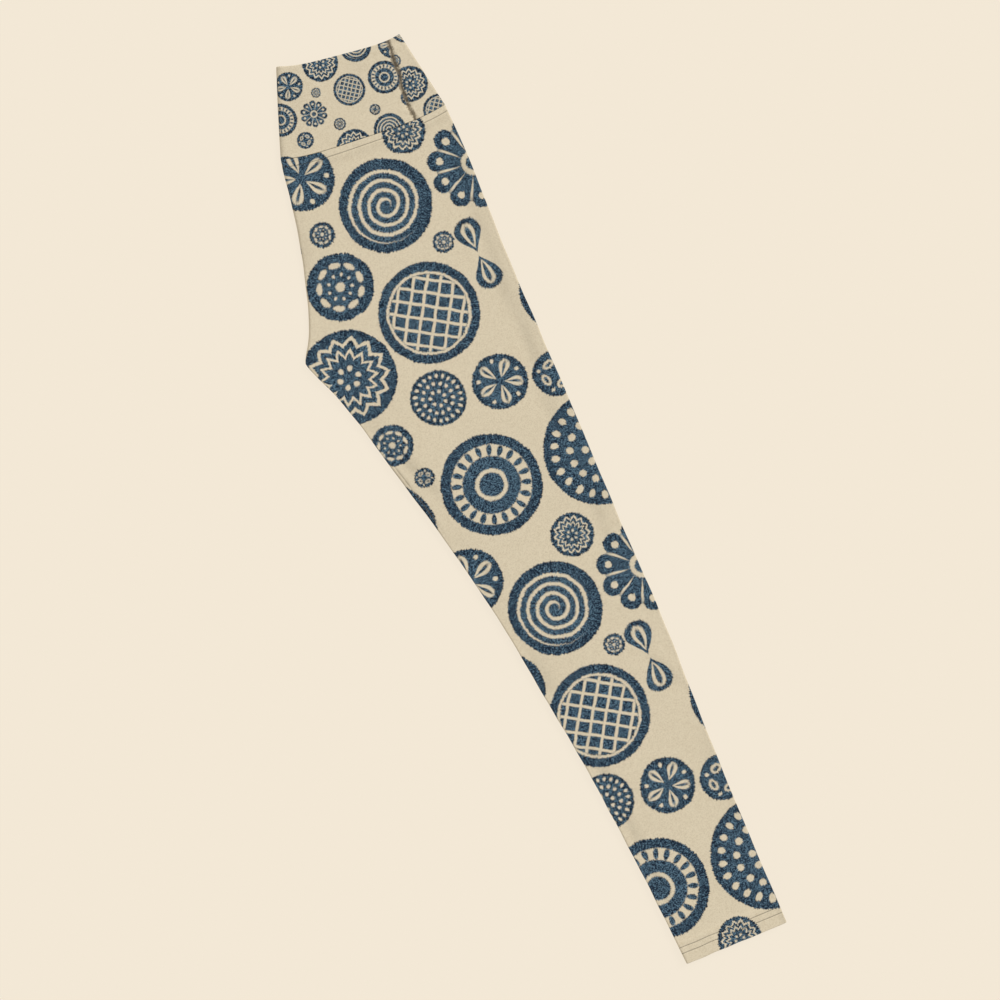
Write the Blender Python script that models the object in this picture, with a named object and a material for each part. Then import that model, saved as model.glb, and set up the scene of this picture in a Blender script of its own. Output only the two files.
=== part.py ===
"""High-waist leggings in printed jersey, folded in half lengthwise and laid flat, one leg on the other.

Sizes are in millimetres until make_object turns them into metres. A plan place is (across, down):
across grows towards the side fold and is 0 where the band seam meets it, down grows from the waist
to the hem. Heights are above the surface that the garment lies on.

Each leg panel runs from its inseam over the top, round the side fold and back below. Above the
crotch the two panels meet in the centre seam, along the left edge. The waistband is a ring of two
doubled pieces, laid in four layers: the front piece wraps round the outside of the centre fold, and
the back piece lies inside it and comes round the side fold to meet it in a seam, above and below.
"""

import math
from collections import namedtuple

import bmesh
import bpy
import numpy as np
from mathutils import Vector

METRES = 0.001

# Lengths down the garment
HEM_DOWN = 884.0
CROTCH_DOWN = 186.0
WAIST_CENTRE = (-140.7, -99.8)
WAIST_SIDE = (-14.6, -82.4)
SEAM_CENTRE = (-172.2, -12.3)
SEAM_SIDE = (0.2, 0.0)
SEAM_BOW = 6.2
WAIST_BOW = 5.3
CENTRE_BOW = 0.4
SEAM_FADE = 110.0

# Cloth
WALL = 1.2
SEAM_WALL = 1.6
SEAM_ALLOWANCE = 7.0
HEM_WALL = 1.6
HEM_TURN_UP = 20.0
HEM_EASE = 14.0
BAND_WALL = 2.0
EASE = 10.0
GAP = 0.3
BAND_TOP = 4 * BAND_WALL + 3 * GAP

# Air between the two layers of each leg
UPPER_AIR = 1.2
UNDER_AIR = 0.4
HEM_OPENING = 40.0

# Roundings
FOLD_ROUND = 1.9
CENTRE_ROUND = 3.2
AIR_ROUND = 0.8
AIR_INSET = 3.4
UNDER_INSET = 0.8
BAND_ROUND = 4.4
SIDE_ROUND = 2.2
SEAM_ROUND = 0.6
SEAM_LEAN = 0.2
EDGE_PINCH = 0.45

# The back band is one solid: its two hidden layers part in a groove at the side and at the waist
SIDE_GROOVE = 14.0
WAIST_GROOVE = 3.0

EdgeRow = namedtuple("EdgeRow", "down across")
Crease = namedtuple("Crease", "down across length width depth lean")
Leg = namedtuple("Leg", "name air inset turns_down")

RISE_EDGE = (
    EdgeRow(-12.3, -172.2),
    EdgeRow(0.0, -174.6),
    EdgeRow(24.0, -177.9),
    EdgeRow(48.0, -182.0),
    EdgeRow(84.0, -189.8),
    EdgeRow(120.0, -199.6),
    EdgeRow(144.0, -206.9),
    EdgeRow(168.0, -217.9),
    EdgeRow(180.0, -225.2),
    EdgeRow(CROTCH_DOWN, -227.6),
)

INSEAM_EDGE = (
    EdgeRow(CROTCH_DOWN, -227.6),
    EdgeRow(192.0, -226.0),
    EdgeRow(200.0, -223.1),
    EdgeRow(220.0, -214.6),
    EdgeRow(240.0, -207.6),
    EdgeRow(280.0, -196.4),
    EdgeRow(320.0, -187.0),
    EdgeRow(380.0, -172.0),
    EdgeRow(440.0, -158.5),
    EdgeRow(500.0, -147.2),
    EdgeRow(580.0, -135.6),
    EdgeRow(680.0, -122.4),
    EdgeRow(780.0, -113.4),
    EdgeRow(HEM_DOWN, -106.2),
)

SIDE_EDGE = (
    EdgeRow(0.0, 0.2),
    EdgeRow(50.0, 1.8),
    EdgeRow(96.0, 1.2),
    EdgeRow(160.0, 0.2),
    EdgeRow(220.0, 0.7),
    EdgeRow(300.0, 1.5),
    EdgeRow(400.0, 2.2),
    EdgeRow(480.0, 2.9),
    EdgeRow(540.0, 3.8),
    EdgeRow(600.0, 3.0),
    EdgeRow(700.0, 1.2),
    EdgeRow(770.0, 0.7),
    EdgeRow(HEM_DOWN, 1.5),
)

# The band's side seam, as it wanders down beside the side fold
SIDE_SEAM = (
    EdgeRow(-82.0, -27.4),
    EdgeRow(-70.0, -28.4),
    EdgeRow(-60.0, -30.4),
    EdgeRow(-46.0, -29.8),
    EdgeRow(-33.0, -32.8),
    EdgeRow(-18.0, -33.8),
    EdgeRow(3.0, -32.6),
)

# Soft troughs in the top layer. Lean is in degrees, from straight down towards the side fold
CREASES = (
    Crease(down=66, across=-11, length=44, width=14, depth=0.5, lean=4),
    Crease(down=245, across=-10, length=84, width=16, depth=0.8, lean=-3),
    Crease(down=338, across=-14, length=46, width=14, depth=0.5, lean=6),
    Crease(down=402, across=-9, length=86, width=16, depth=0.7, lean=-2),
    Crease(down=608, across=-16, length=56, width=15, depth=0.6, lean=5),
    Crease(down=728, across=-9, length=66, width=14, depth=0.6, lean=-3),
    Crease(down=76, across=-178, length=40, width=14, depth=0.4, lean=-10),
    Crease(down=290, across=-178, length=120, width=16, depth=0.8, lean=14),
    Crease(down=562, across=-129, length=58, width=14, depth=0.5, lean=8),
    Crease(down=672, across=-112, length=54, width=14, depth=0.6, lean=7),
    Crease(down=795, across=-101, length=48, width=13, depth=0.5, lean=5),
)

UPPER_LEG = Leg(name="leg_upper", air=UPPER_AIR, inset=0.0, turns_down=True)
UNDER_LEG = Leg(name="leg_under", air=UNDER_AIR, inset=UNDER_INSET, turns_down=False)

# Where the sections of a leg lie, by their distance down, closest at the seam, the crotch and the hem
LEG_STATIONS = (
    0, 3, 8, 14, 24, 42, 64, 88, 112, 134, 152, 168, 178, CROTCH_DOWN, 193, 203, 220, 242,
    266, 290, 316, 344, 372, 400, 430, 462, 495, 518, 540, 562, 590, 620, 650, 680, 710,
    740, 770, 800, 828, 848, 860, 866, 874, 880, 883, 883.7, HEM_DOWN,
)
# Points across a section: distances in from each fold, and shares of the width between them
FOLD_STEPS = (0.0, 0.3, 0.9, 1.9)
SHARES = (0.045, 0.08, 0.13, 0.2, 0.32, 0.5, 0.68, 0.79, 0.87, 0.93, 0.97)

# Where the sections of the band lie, by their distance below the waist edge at its mean height
BAND_HEIGHT = 85.0
BAND_STATIONS = (
    0, 0.4, 1.0, 3.0, 6.0, 12, 19, 26, 33, 40, 47, 54, 61, 68, 75, 81, 83.6, 84.6, BAND_HEIGHT,
)
ROUND_STEPS = 3
GROOVE_STEPS = 12

CLOTH_COLOUR = (0.69, 0.60, 0.41, 1.0)
CLOTH_ROUGHNESS = 0.85


def smooth(rows, at):
    """The across value at one distance down, on a smooth curve through the rows of a table."""
    downs = [row.down for row in rows]
    values = [row.across for row in rows]
    slopes = np.gradient(values, downs)
    at = min(max(at, downs[0]), downs[-1])
    i = min(int(np.searchsorted(downs, at, side="right")) - 1, len(rows) - 2)
    span = downs[i + 1] - downs[i]
    f = (at - downs[i]) / span
    ends = values[i] * (1 + 2 * f) * (1 - f) ** 2 + values[i + 1] * f * f * (3 - 2 * f)
    turns = slopes[i] * f * (1 - f) ** 2 - slopes[i + 1] * f * f * (1 - f)
    return ends + turns * span


def ease(value, start, end):
    """0 before start and 1 after end, with a smooth step between."""
    f = min(max((value - start) / (end - start), 0.0), 1.0)
    return f * f * (3 - 2 * f)


def blend(a, b, share):
    return a + (b - a) * share


def round_edge(distance, radius):
    """Share of the full height at a distance in from a rounded edge: a quarter of an ellipse."""
    f = min(max(distance / radius, 0.0), 1.0)
    return math.sqrt(1 - (1 - f) ** 2)


def inner_edge(down):
    """The left edge: the centre fold above the crotch and the inseam below it."""
    return smooth(RISE_EDGE if down < CROTCH_DOWN else INSEAM_EDGE, down)


def flat_bow(t):
    """How far a curved edge has left its chord, as a share of its bow, at a share t of its length."""
    return 1 - (2 * t - 1) ** 4


def crease_depth(across, down):
    depth = 0.0
    for crease in CREASES:
        lean = math.radians(crease.lean)
        aside = across - crease.across
        ahead = down - crease.down
        along = (ahead * math.cos(lean) + aside * math.sin(lean)) / (crease.length / 2)
        beside = (aside * math.cos(lean) - ahead * math.sin(lean)) / (crease.width / 2)
        depth += crease.depth * math.exp(-along * along - beside * beside)
    return depth


def band_place(t, w):
    """Plan place on the band, t from the centre fold to the side fold and w from the waist to the seam."""
    centre = [blend(a, b, w) for a, b in zip(WAIST_CENTRE, SEAM_CENTRE)]
    side = [blend(a, b, w) for a, b in zip(WAIST_SIDE, SEAM_SIDE)]
    centre[0] -= CENTRE_BOW * math.sin(math.pi * w)
    across = blend(centre[0], side[0], t)
    down = blend(centre[1], side[1], t) + blend(WAIST_BOW, SEAM_BOW, w) * flat_bow(t)
    return across, down


def band_width(w):
    return band_place(1.0, w)[0] - band_place(0.0, w)[0]


def leg_place(t, station, inset=0.0):
    """Plan place on a leg. Its top edge follows the band's seam, and its sections straighten below."""
    fade = max(1 - station / SEAM_FADE, 0.0) ** 2
    drop = (band_place(t, 1.0)[1] + GAP) * fade
    inset *= ease(station, CROTCH_DOWN - EASE, CROTCH_DOWN + EASE)
    left = inner_edge(station + (SEAM_CENTRE[1] + GAP) * fade) + inset
    right = smooth(SIDE_EDGE, station) - inset
    return blend(left, right, t), station + drop


def wall_at(station):
    """The cloth is doubled in the seam allowance below the band and in the turned-up hem."""
    seam = blend(SEAM_WALL, WALL, ease(station, SEAM_ALLOWANCE, SEAM_ALLOWANCE + EASE))
    turned_up = HEM_DOWN - HEM_TURN_UP
    return blend(seam, HEM_WALL, ease(station, turned_up - HEM_EASE, turned_up))


def leg_floor(leg, station):
    """Height of a leg's lower face."""
    return 2 * wall_at(station) + UNDER_AIR + GAP if leg is UPPER_LEG else 0.0


def leg_top(leg, across, down, station):
    """Height of a leg's upper face. Only the layer that shows has its creases."""
    top = leg_floor(leg, station) + 2 * wall_at(station) + leg.air
    if leg is UPPER_LEG:
        top -= crease_depth(across, down)
    return top


def section_steps(width):
    """Distances from the left edge of a section, close together at both folds."""
    between = [share * width for share in SHARES]
    return list(FOLD_STEPS) + between + [width - step for step in reversed(FOLD_STEPS)]


def leg_ring(leg, station, in_wall):
    """One closed section of a leg: its outside, or with in_wall the inside of its wall."""
    left = leg_place(0.0, station, leg.inset)[0]
    width = leg_place(1.0, station, leg.inset)[0] - left
    wall = wall_at(station)
    floor = leg_floor(leg, station)
    full = 2 * wall + leg.air
    at_rise = 1 - ease(station, CROTCH_DOWN - EASE, CROTCH_DOWN)
    centre_height = blend(full / 2, 0.0 if leg.turns_down else full, at_rise)
    fold = blend(FOLD_ROUND, CENTRE_ROUND, at_rise)
    shrink = 1 - 2 * AIR_INSET / width if in_wall else 1.0
    steps_over = section_steps(width)
    steps_back = steps_over[-2:0:-1]
    ring = []
    for steps, face in ((steps_over, "top"), (steps_back, "floor")):
        for step in steps:
            distance = width / 2 + (step - width / 2) * shrink
            across, down = leg_place(distance / width, station, leg.inset)
            near_left = distance < width / 2
            to_edge = distance if near_left else width - distance
            top = leg_top(leg, across, down, station)
            if in_wall:
                middle = (floor + wall + top - wall) / 2
                height = top - wall if face == "top" else floor + wall
                share = round_edge(to_edge - AIR_INSET, AIR_ROUND)
            else:
                middle = floor + (centre_height if near_left else full / 2)
                height = top if face == "top" else floor
                share = round_edge(to_edge, fold if near_left else FOLD_ROUND)
            ring.append((across, down, blend(middle, height, share)))
    return ring


def pinch(outer, inner, share):
    """Draws the two faces of a wall together, for the rounded edge of a fold."""
    close = (1 - share) / 2
    pulled_out = [tuple(blend(a, b, close) for a, b in zip(p, q)) for p, q in zip(outer, inner)]
    pulled_in = [tuple(blend(b, a, close) for a, b in zip(p, q)) for p, q in zip(outer, inner)]
    return pulled_out, pulled_in


def fold_share(distance, thickness):
    """Share of a wall's thickness at a distance from the rounded end of a fold."""
    return max(round_edge(distance, thickness / 2), EDGE_PINCH)


def join_rings(bm, rings, closed=True):
    """Faces between neighbouring rings of points. A ring that isn't closed leaves its ends apart."""
    for first, second in zip(rings, rings[1:]):
        count = len(first) if closed else len(first) - 1
        for i in range(count):
            j = (i + 1) % len(first)
            bm.faces.new((first[i], first[j], second[j], second[i]))


def add_points(bm, rings):
    return [[bm.verts.new(plan_point(place)) for place in ring] for ring in rings]


def close_between(bm, upper, lower):
    """Triangles between two lines of points that run across one above the other, so a bowed end stays bowed."""
    i = 0
    j = 0
    while i + 1 < len(upper) or j + 1 < len(lower):
        if j + 1 == len(lower):
            over = True
        elif i + 1 == len(upper):
            over = False
        else:
            over = upper[i + 1].co.x <= lower[j + 1].co.x
        corners = [upper[i], lower[j], upper[i + 1] if over else lower[j + 1]]
        i += over
        j += not over
        if len(set(corners)) == 3:
            bm.faces.new(corners)


def plan_point(place):
    """World point of (across, down, height), with the origin under the middle of the garment."""
    across, down, height = place
    middle_across = (min(row.across for row in INSEAM_EDGE) + max(row.across for row in SIDE_EDGE)) / 2
    middle_down = (WAIST_CENTRE[1] + HEM_DOWN) / 2
    return Vector((across - middle_across, middle_down - down, height)) * METRES


def cloth_material(name):
    material = bpy.data.materials.new(name)
    material.use_nodes = True
    shader = material.node_tree.nodes["Principled BSDF"]
    shader.inputs["Base Color"].default_value = CLOTH_COLOUR
    shader.inputs["Roughness"].default_value = CLOTH_ROUGHNESS
    shader.inputs["Metallic"].default_value = 0.0
    return material


def make_object(name, bm):
    """Turns the finished faces into an object of the scene, with faces out and its own material."""
    bmesh.ops.recalc_face_normals(bm, faces=bm.faces)
    mesh = bpy.data.meshes.new(name)
    bm.to_mesh(mesh)
    bm.free()
    mesh.shade_smooth()
    mesh.set_sharp_from_angle(angle=math.radians(50))
    mesh.materials.append(cloth_material(name + "_cloth"))
    piece = bpy.data.objects.new(name, mesh)
    bpy.context.scene.collection.objects.link(piece)
    return piece


def hem_rings(leg, stations):
    """Outer and inner rings, drawn together at the hem, where the cloth is folded up inside."""
    outer = []
    inner = []
    for station in stations:
        share = fold_share(HEM_DOWN - station, HEM_WALL)
        rings = pinch(leg_ring(leg, station, False), leg_ring(leg, station, True), share)
        outer.append(rings[0])
        inner.append(rings[1])
    return outer, inner


def upper_leg():
    """The leg that shows: one wall of cloth all round, open at the waist seam and at the hem."""
    bm = bmesh.new()
    outer, inner = hem_rings(UPPER_LEG, LEG_STATIONS)
    outer = add_points(bm, outer)
    inner = add_points(bm, inner)
    join_rings(bm, outer)
    join_rings(bm, inner)
    join_rings(bm, [outer[0], inner[0]])
    join_rings(bm, [outer[-1], inner[-1]])
    make_object(UPPER_LEG.name, bm)


def under_leg():
    """The leg below: its hidden layers are one rounded solid, parted where the hem opens."""
    bm = bmesh.new()
    outer, inner = hem_rings(UNDER_LEG, LEG_STATIONS)
    opening = [i for i, station in enumerate(LEG_STATIONS) if station > HEM_DOWN - HEM_OPENING]
    outer = add_points(bm, outer)
    inner = add_points(bm, inner[opening[0]:])
    join_rings(bm, outer)
    join_rings(bm, inner)
    join_rings(bm, [outer[-1], inner[-1]])
    for ring in (outer[0], inner[0]):
        over = len(section_steps(1.0))
        close_between(bm, ring[:over], ring[:1] + ring[:over - 2:-1])
    make_object(UNDER_LEG.name, bm)


def side_seam_share(w):
    """Where the band's side seam lies, as a share of the way from the centre fold to the side fold."""
    share = 0.8
    for _ in range(4):
        down = band_place(share, w)[1]
        share = (smooth(SIDE_SEAM, down) - band_place(0.0, w)[0]) / band_width(w)
    return share


def band_steps(w, shares):
    """Distances from the centre fold: shares of the seam's length, moved with the side seam above it."""
    here = side_seam_share(w)
    low = side_seam_share(1.0)
    moved = [s * here / low if s < low else 1 - (1 - s) * (1 - here) / (1 - low) for s in shares]
    return [share * band_width(w) for share in moved]


def band_points(w, outline):
    """Places on the band of an outline given as (distance from the centre fold, height)."""
    width = band_width(w)
    return [(*band_place(distance / width, w), height) for distance, height in outline]


def quarter_turns(first, last):
    """Angles in quarter steps of a round end, from one quarter turn to another."""
    count = abs(last - first) * ROUND_STEPS
    return [math.pi / 2 * blend(first, last, i / count) for i in range(count + 1)]


def front_band_faces(w):
    """Outer and inner face of the front piece: the arm above, the round at the fold, the arm below."""
    seam = side_seam_share(w) * band_width(w) - GAP / 2
    shares = [share for share in SHARES if share < side_seam_share(1.0)]
    arm = [seam, seam - SEAM_ROUND] + band_steps(w, reversed(shares))
    faces = []
    for depth in (0.0, BAND_WALL):
        dip = SEAM_ROUND if depth == 0.0 else 0.0
        above = [(distance, BAND_TOP - depth) for distance in arm]
        above[0] = (seam, BAND_TOP - depth - dip)
        turns = quarter_turns(1, -1)
        out = BAND_ROUND - depth
        up = BAND_TOP / 2 - depth
        end = [(BAND_ROUND - out * math.cos(a), BAND_TOP / 2 + up * math.sin(a)) for a in turns]
        below = [(distance, BAND_TOP - height) for distance, height in reversed(above)]
        faces.append(above + end + below)
    return faces


def front_band():
    """The front piece: from the side seam above, round the centre fold, to the side seam below."""
    bm = bmesh.new()
    outer = []
    inner = []
    for station in BAND_STATIONS:
        w = station / BAND_HEIGHT
        share = fold_share(min(station, BAND_HEIGHT - station), BAND_WALL)
        faces = [band_points(w, face) for face in front_band_faces(w)]
        pair = pinch(faces[0], faces[1], share)
        outer.append(pair[0])
        inner.append(pair[1])
    outer = add_points(bm, outer)
    inner = add_points(bm, inner)
    join_rings(bm, outer, closed=False)
    join_rings(bm, inner, closed=False)
    for row in (0, -1):
        join_rings(bm, [outer[row], inner[row]], closed=False)
    for end in (0, -1):
        join_rings(bm, [[ring[end] for ring in outer], [ring[end] for ring in inner]], closed=False)
    make_object("band_front", bm)


def back_band_half(w, station):
    """Upper half of the back piece's outline: inner fold, hidden layer, lip, side fold and groove."""
    width = band_width(w)
    middle = BAND_TOP / 2
    trim = (1 - fold_share(min(station, BAND_HEIGHT - station), BAND_WALL)) * BAND_WALL / 2
    layer = BAND_TOP - BAND_WALL - GAP - trim
    top = BAND_TOP - trim
    low = middle + GAP / 2 + trim
    lip = side_seam_share(w) * width + GAP / 2
    seam_share = side_seam_share(1.0)
    out = BAND_ROUND - BAND_WALL - GAP
    half = [(BAND_ROUND - out * math.cos(a), blend(middle, layer, math.sin(a))) for a in quarter_turns(0, 1)]
    hidden = [share for share in SHARES if share < seam_share]
    shown = [share for share in SHARES if share > seam_share]
    half += [(distance, layer) for distance in band_steps(w, hidden) + [lip]]
    half += [(lip + SEAM_LEAN, top - SEAM_ROUND), (lip + SEAM_ROUND, top)]
    half += [(distance, top) for distance in band_steps(w, shown)]
    fold = width - SIDE_ROUND
    for turn in quarter_turns(1, -1):
        half.append((fold + SIDE_ROUND * math.cos(turn), blend((low + top) / 2, top, math.sin(turn))))
    at_waist = 1 - ease(station, WAIST_GROOVE, 2 * WAIST_GROOVE)
    corner = lip + SEAM_LEAN / 2
    for i in range(1, GROOVE_STEPS + 1):
        share = i / GROOVE_STEPS
        if share <= 0.5:
            along_waist = blend(fold, corner, 2 * share)
        else:
            along_waist = blend(corner, 2 * BAND_ROUND, 2 * share - 1)
        half.append((blend(blend(fold, width - SIDE_GROOVE, share), along_waist, at_waist), low))
    return half


def close_band_end(bm, ring):
    """Closes one end of the back piece: its layers as one up to the groove, then an arm on each side of it."""
    half = len(ring) // 2 + 1
    upper = ring[:half]
    lower = ring[:1] + ring[:half - 1:-1]
    fold = half - 1 - GROOVE_STEPS - ROUND_STEPS
    for arm in (upper, lower):
        inside = [i for i in range(fold) if arm[i].co.x < arm[-1].co.x]
        close_between(bm, arm[inside[-1]:fold + 1], arm[:fold - 1:-1])
    close_between(bm, upper[:inside[-1] + 1] + upper[-1:], lower[:inside[-1] + 1] + lower[-1:])


def back_band():
    """The back piece: its two hidden layers are one solid, and its ends come round the side fold."""
    bm = bmesh.new()
    rings = []
    for station in BAND_STATIONS:
        w = station / BAND_HEIGHT
        half = back_band_half(w, station)
        mirrored = [(distance, BAND_TOP - height) for distance, height in reversed(half[1:])]
        rings.append(band_points(w, half + mirrored))
    rings = add_points(bm, rings)
    join_rings(bm, rings)
    close_band_end(bm, rings[0])
    close_band_end(bm, rings[-1])
    make_object("band_back", bm)


def clear_scene():
    for old in list(bpy.data.objects):
        bpy.data.objects.remove(old, do_unlink=True)


def main():
    clear_scene()
    upper_leg()
    under_leg()
    front_band()
    back_band()


main()
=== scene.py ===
"""Looks of the leggings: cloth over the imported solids, a resist-dyed print, sewing, floor, light, camera.

Sizes are in millimetres until a mesh is made. A plan place is (across, down): across grows towards the
side fold and is 0 where the band seam meets it, down grows from the waist to the hem. Heights are above
the floor. Each piece of cloth is a closed shell: a grid of outer points and a grid of inner points, with
a row for each station down the piece and a column for each step round it.
"""

import math
from collections import namedtuple
from functools import partial

import bpy
import numpy as np
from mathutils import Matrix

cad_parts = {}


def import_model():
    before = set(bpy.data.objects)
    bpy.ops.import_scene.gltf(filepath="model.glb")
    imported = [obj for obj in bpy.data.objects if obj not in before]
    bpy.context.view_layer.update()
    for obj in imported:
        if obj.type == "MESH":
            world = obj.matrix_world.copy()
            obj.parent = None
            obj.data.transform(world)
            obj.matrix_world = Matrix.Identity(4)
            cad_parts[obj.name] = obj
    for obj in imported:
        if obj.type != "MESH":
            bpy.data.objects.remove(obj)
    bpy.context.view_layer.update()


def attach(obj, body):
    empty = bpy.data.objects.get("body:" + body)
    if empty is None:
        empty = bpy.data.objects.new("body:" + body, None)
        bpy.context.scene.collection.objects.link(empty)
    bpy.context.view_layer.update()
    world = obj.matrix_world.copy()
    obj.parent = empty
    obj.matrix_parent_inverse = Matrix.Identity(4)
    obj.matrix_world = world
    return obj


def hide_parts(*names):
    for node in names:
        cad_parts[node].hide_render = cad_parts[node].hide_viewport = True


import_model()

METRES = 0.001

# Corners of the waistband as (across, down), and lengths down the garment, as the solids have them
HEM_DOWN = 884.0
CROTCH_DOWN = 186.0
WAIST_CENTRE = (-140.7, -99.8)
WAIST_SIDE = (-14.6, -82.4)
SEAM_CENTRE = (-172.2, -12.3)
SEAM_SIDE = (0.2, 0.0)
SEAM_BOW = 6.2
WAIST_BOW = 5.3
CENTRE_BOW = 0.4
SEAM_FADE = 110.0
BAND_HEIGHT = 85.0
MIDDLE_ACROSS = -111.9
MIDDLE_DOWN = 392.1

# Cloth thicknesses and the air between layers
WALL = 1.2
SEAM_WALL = 1.6
HEM_WALL = 1.6
BAND_WALL = 2.0
GAP = 0.3
SEAM_GAP = 0.05
SEAM_ROLL = 0.5
BAND_TOP = 4 * BAND_WALL + 3 * GAP
BAND_MIDDLE = BAND_TOP / 2
UPPER_AIR = 1.2
UNDER_AIR = 0.4
AIR_INSET = 1.7
AIR_ROUND = 0.8
UNDER_INSET = 0.8

# Roundings, and how long a step between two shapes is
FOLD_ROUND = 1.9
CENTRE_ROUND = 3.2
BAND_ROUND = 4.4
EASE = 10.0

# Sewing
SEAM_ALLOWANCE = 7.0
SEAM_NEEDLE = 6.5
HEM_TURN_UP = 20.0
HEM_EASE = 6.0
HEM_NEEDLES = (11.3, 17.5)
NEEDLE_GROOVE = 0.28
NEEDLE_WIDTH = 0.7
STITCH_PITCH = 2.9
STITCH_LENGTH = 2.3
STITCH_LEAST = 0.86
STITCH_MOST = 1.1
STITCH_SEED = 5
STITCH_SIDES = 6
STITCH_RINGS = 5
STITCH_INSET = 5
THREAD_RADIUS = 0.16
THREAD_SINKS = 0.02
DITCH_WIDTH = 2.0
DITCH_DEPTH = 1.2
INSEAM_GROOVE = 0.3
INSEAM_WIDTH = 1.1

# How near to the band's outer face counts as on it, and how far off an inseam that doesn't show counts as
FACE_MARGIN = 0.2
UNSEEN = 3.0

Crease = namedtuple("Crease", "down across length width depth lean")
Leg = namedtuple("Leg", "name node air inset turns_down print_across print_down")
Band = namedtuple("Band", "name node heading print_shift")

# Edges, as rows of (down, across)
RISE_EDGE = (
    (-12.3, -172.2),
    (0.0, -174.6),
    (24.0, -177.9),
    (48.0, -182.0),
    (84.0, -189.8),
    (120.0, -199.6),
    (144.0, -206.9),
    (168.0, -217.9),
    (180.0, -225.2),
    (CROTCH_DOWN, -227.6),
)

INSEAM_EDGE = (
    (CROTCH_DOWN, -227.6),
    (192.0, -226.0),
    (200.0, -223.1),
    (220.0, -214.6),
    (240.0, -207.6),
    (280.0, -196.4),
    (320.0, -187.0),
    (380.0, -172.0),
    (440.0, -158.5),
    (500.0, -147.2),
    (580.0, -135.6),
    (680.0, -122.4),
    (780.0, -113.4),
    (HEM_DOWN, -106.2),
)

SIDE_EDGE = (
    (0.0, 0.2),
    (50.0, 1.8),
    (96.0, 1.2),
    (160.0, 0.2),
    (220.0, 0.7),
    (300.0, 1.5),
    (400.0, 2.2),
    (480.0, 2.9),
    (540.0, 3.8),
    (600.0, 3.0),
    (700.0, 1.2),
    (770.0, 0.7),
    (HEM_DOWN, 1.5),
)

# The band's side seam, as rows of (down, across) beside the side fold, and the share of the band's width
# where it is first looked for, with the number of turns that find it
SIDE_SEAM_GUESS = 0.8
SIDE_SEAM_TURNS = 4
SIDE_SEAM = (
    (-82.0, -27.4),
    (-70.0, -28.4),
    (-60.0, -30.4),
    (-46.0, -29.8),
    (-33.0, -32.8),
    (-18.0, -33.8),
    (3.0, -32.6),
)

# Rows of (down, how far in from the edge the inseam's sewn line lies), and where it starts and ends to
# show on top
INSEAM_SHOWS = (270.0, 330.0, 372.0, 420.0)
INSEAM_LINE = (
    (CROTCH_DOWN, 0.4),
    (250.0, 0.8),
    (296.0, 2.8),
    (340.0, 4.0),
    (384.0, 3.4),
    (430.0, 1.2),
    (520.0, 0.3),
    (HEM_DOWN, 0.2),
)

# Soft troughs in the cloth on top: the middle of each, its length, width and depth, and its lean in degrees,
# from straight down towards the side fold. Their depths also darken the cloth's colour as painted shade
CREASES = (
    Crease(66, -11.5, 46, 11, 1.2, 2),
    Crease(124, -14, 70, 12, 0.6, 4),
    Crease(182, -17.5, 56, 14, 0.9, -3),
    Crease(256, -14.5, 92, 13, 0.9, -2),
    Crease(336, -19, 64, 15, 0.6, 6),
    Crease(414, -14.5, 84, 14, 0.8, -3),
    Crease(502, -12, 70, 13, 0.5, 3),
    Crease(604, -16, 44, 11, 0.9, 28),
    Crease(722, -8, 74, 18, 0.5, -2),
    Crease(846, -5, 60, 12, 0.2, 0),
    Crease(879, 0, 14, 9, 0.8, 0),
    Crease(130, -168, 70, 10, 0.3, -14),
    Crease(84, -186, 60, 10, 0.5, -12),
    Crease(252, -192, 40, 20, 0.5, 18),
    Crease(322, -170, 92, 11, 1.0, 22),
    Crease(440, -146, 70, 12, 0.4, 14),
    Crease(562, -128, 64, 12, 0.6, 8),
    Crease(672, -110.5, 88, 10, 1.0, 6),
    Crease(738, -106, 50, 10, 0.6, 5),
    Crease(797, -102, 66, 9, 1.0, 4),
)

# Shallow troughs of the same kind in the cloth underneath
HIDDEN_CREASES = (
    Crease(-52, -120, 46, 14, 0.20, -14),
    Crease(-36, -64, 40, 13, 0.18, 12),
    Crease(96, -24, 80, 14, 0.28, 3),
    Crease(205, -36, 70, 16, 0.30, -8),
    Crease(306, -164, 90, 12, 0.30, 20),
    Crease(388, -20, 84, 14, 0.28, 4),
    Crease(520, -26, 70, 14, 0.28, -4),
    Crease(640, -110, 90, 11, 0.30, 7),
    Crease(760, -22, 64, 12, 0.25, -3),
)

BAND_CREASES = (
    Crease(-52, -140, 52, 13, 0.3, -18),
    Crease(-30, -12, 40, 12, 0.3, 10),
    Crease(-66, -70, 36, 18, 0.2, -60),
)

UPPER_LEG = Leg("leg_upper_cloth", "leg_upper", UPPER_AIR, 0.0, True, 46.0, 112.0)
UNDER_LEG = Leg("leg_under_cloth", "leg_under", UNDER_AIR, UNDER_INSET, False, 150.0, 300.0)
FRONT_BAND = Band("band_front_cloth", "band_front", -1, (6.0, 14.0))
BACK_BAND = Band("band_back_cloth", "band_back", 1, (43.0, 51.0))

# Small unevenness of the cloth: how high its waves are, how long, and the seed of their draws. Single waves
# are shorter or longer by shares from the spread, and there are this many on a face and on an edge
Waves = namedtuple("Waves", "height size seed")
LEFT_WAVES = Waves(0.3, 46.0, 3)
RIGHT_WAVES = Waves(0.35, 38.0, 4)
HEM_WAVES = Waves(0.3, 34.0, 5)
LEG_WAVES = (Waves(0.14, 60.0, 13), Waves(0.06, 21.0, 14))
BAND_WAVES = (Waves(0.12, 34.0, 21), Waves(0.05, 13.0, 22))
DITCH_WAVES = Waves(0.3, 11.0, 25)
WAVE_SPREAD = (0.6, 1.7)
FACE_WAVES = 14
EDGE_WAVES = 8

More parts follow.
